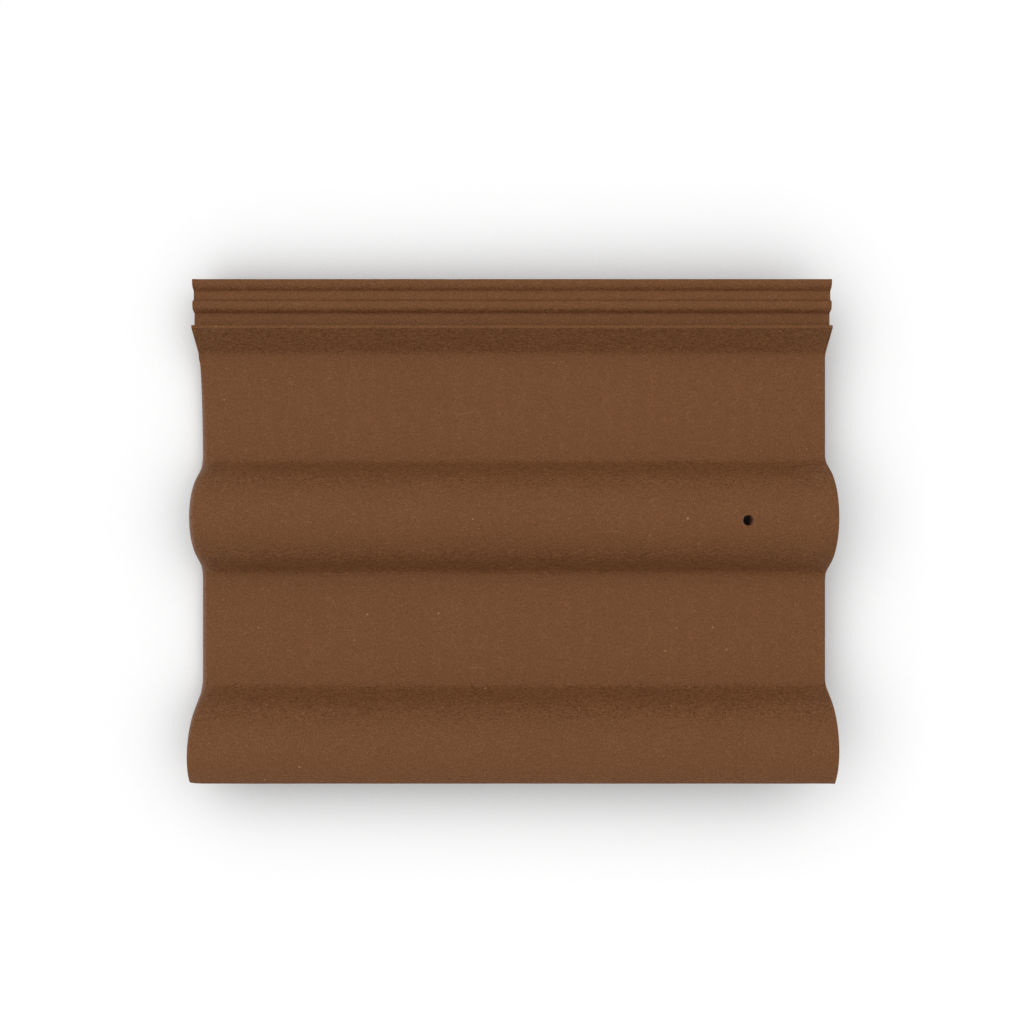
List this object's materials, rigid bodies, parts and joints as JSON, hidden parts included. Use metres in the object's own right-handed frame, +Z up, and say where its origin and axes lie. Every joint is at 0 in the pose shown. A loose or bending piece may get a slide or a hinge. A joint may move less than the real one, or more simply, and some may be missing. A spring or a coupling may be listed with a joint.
{
  "type": "clay roof tile",
  "caption": "Double-roll interlocking roof tile in brown clay, with pans, an underlock with grooves, a cover lap, a rounded tail, a nail hole and hanging nibs.",
  "frame": {"origin": "on the floor under the middle of the tile's box, as it lies on its nibs and its first weather bar", "axes": "+X towards the head, +Y towards the underlock, +Z up; the tile's plane is raised 1.81 degrees towards the head"},
  "size_m": [0.421, 0.3296, 0.0569],
  "materials": {
    "clay": "matt fired clay, brown, with a fine wrinkled skin and faint speckles"
  },
  "bodies": {
    "root": {"roof_tile": "clay"}
  },
  "joints": []
}
